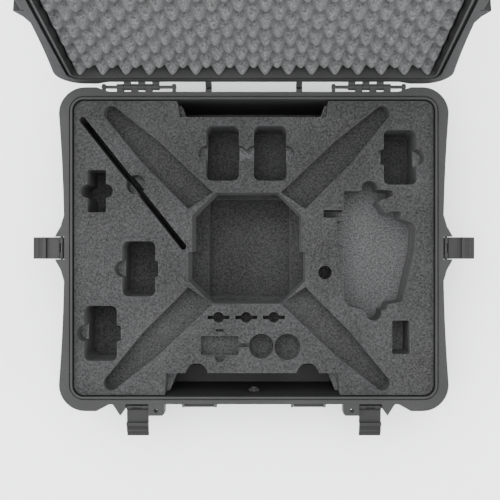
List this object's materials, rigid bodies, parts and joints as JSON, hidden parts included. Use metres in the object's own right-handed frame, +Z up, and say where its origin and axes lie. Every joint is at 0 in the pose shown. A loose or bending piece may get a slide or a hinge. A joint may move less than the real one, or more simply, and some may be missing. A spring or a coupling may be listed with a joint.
{
  "type": "drone carrying case",
  "caption": "Hard moulded carrying case for a quadcopter, with hinged lid, cam latches, folding handle and cut foam pockets.",
  "frame": {"origin": "on the floor, under the middle of the open case; the middle of the base is 60.6 mm towards the front from it", "axes": "+Z up, +Y towards the hinges, +X to the right seen from the front"},
  "size_m": [0.6746, 0.6948, 0.6127],
  "materials": {
    "shell": "matte",
    "latch": "satin",
    "rod": "satin",
    "seal": "matte",
    "grip": "matte",
    "foam_dark": "matte",
    "foam_grey": "matte"
  },
  "bodies": {
    "base": {"base_shell": "shell", "padlock_tab_left": "shell", "padlock_tab_right": "shell", "foam_base_layer": "foam_dark", "foam_grey_1_1": "foam_grey", "foam_grey_1_2": "foam_grey", "foam_grey_2_1": "foam_grey", "foam_grey_2_2": "foam_grey", "foam_grey_3_1": "foam_grey", "foam_grey_3_2": "foam_grey", "foam_grey_4_1": "foam_grey", "foam_grey_4_2": "foam_grey", "foam_grey_5_1": "foam_grey", "foam_grey_5_2": "foam_grey", "foam_top_1_1": "foam_dark", "foam_top_1_2": "foam_dark", "foam_top_1_3": "foam_dark", "foam_top_1_4": "foam_dark", "foam_top_2_1": "foam_dark", "foam_top_2_2": "foam_dark", "foam_top_2_3": "foam_dark", "foam_top_2_4": "foam_dark", "foam_top_3_1": "foam_dark", "foam_top_3_2": "foam_dark", "foam_top_3_3": "foam_dark", "foam_top_3_4": "foam_dark", "foam_top_4_1": "foam_dark", "foam_top_4_2": "foam_dark", "foam_top_4_3": "foam_dark", "foam_top_4_4": "foam_dark", "foam_top_5_1": "foam_dark", "foam_top_5_2": "foam_dark", "foam_top_5_3": "foam_dark", "foam_top_5_4": "foam_dark", "foam_top_6_1": "foam_dark", "foam_top_6_2": "foam_dark", "foam_top_6_3": "foam_dark", "foam_top_6_4": "foam_dark", "foam_plug": "foam_dark", "hinge_pin_left": "rod", "hinge_pin_right": "rod", "latch_pin_front_left": "rod", "latch_pin_front_right": "rod", "latch_pin_side_left": "rod", "latch_pin_side_right": "rod", "handle_pins": "rod", "valve_body": "latch", "valve_gasket": "seal", "valve_nut": "rod", "rubber_feet": "grip"},
    "lid": {"lid_shell": "shell", "lid_padlock_tabs": "shell", "lid_gasket": "seal", "lid_foam": "foam_dark"},
    "latch_front_left": {"latch_front_left": "latch"},
    "latch_front_right": {"latch_front_right": "latch"},
    "latch_side_left": {"latch_side_left": "latch"},
    "latch_side_right": {"latch_side_right": "latch"},
    "handle": {"handle_frame": "latch", "handle_grip": "grip"}
  },
  "joints": [
    {"name": "lid_hinge", "type": "hinge", "parent": "base", "child": "lid", "pos_m": [0, 0.18378, 0.127], "axis": [1, 0, 0], "range_deg": [0, 102.4]},
    {"name": "front_left_latch", "type": "hinge", "parent": "base", "child": "latch_front_left", "pos_m": [-0.177, -0.30262, 0.1225], "axis": [-1, 0, 0], "range_deg": [0, 90]},
    {"name": "front_right_latch", "type": "hinge", "parent": "base", "child": "latch_front_right", "pos_m": [0.177, -0.30262, 0.1225], "axis": [-1, 0, 0], "range_deg": [0, 90]},
    {"name": "side_left_latch", "type": "hinge", "parent": "base", "child": "latch_side_left", "pos_m": [-0.2925, -0.06062, 0.1225], "axis": [0, 1, 0], "range_deg": [0, 90]},
    {"name": "side_right_latch", "type": "hinge", "parent": "base", "child": "latch_side_right", "pos_m": [0.2925, -0.06062, 0.1225], "axis": [0, -1, 0], "range_deg": [0, 90]},
    {"name": "handle_fold", "type": "hinge", "parent": "base", "child": "handle", "pos_m": [0, -0.29812, 0.1155], "axis": [-1, 0, 0], "range_deg": [0, 90]}
  ]
}
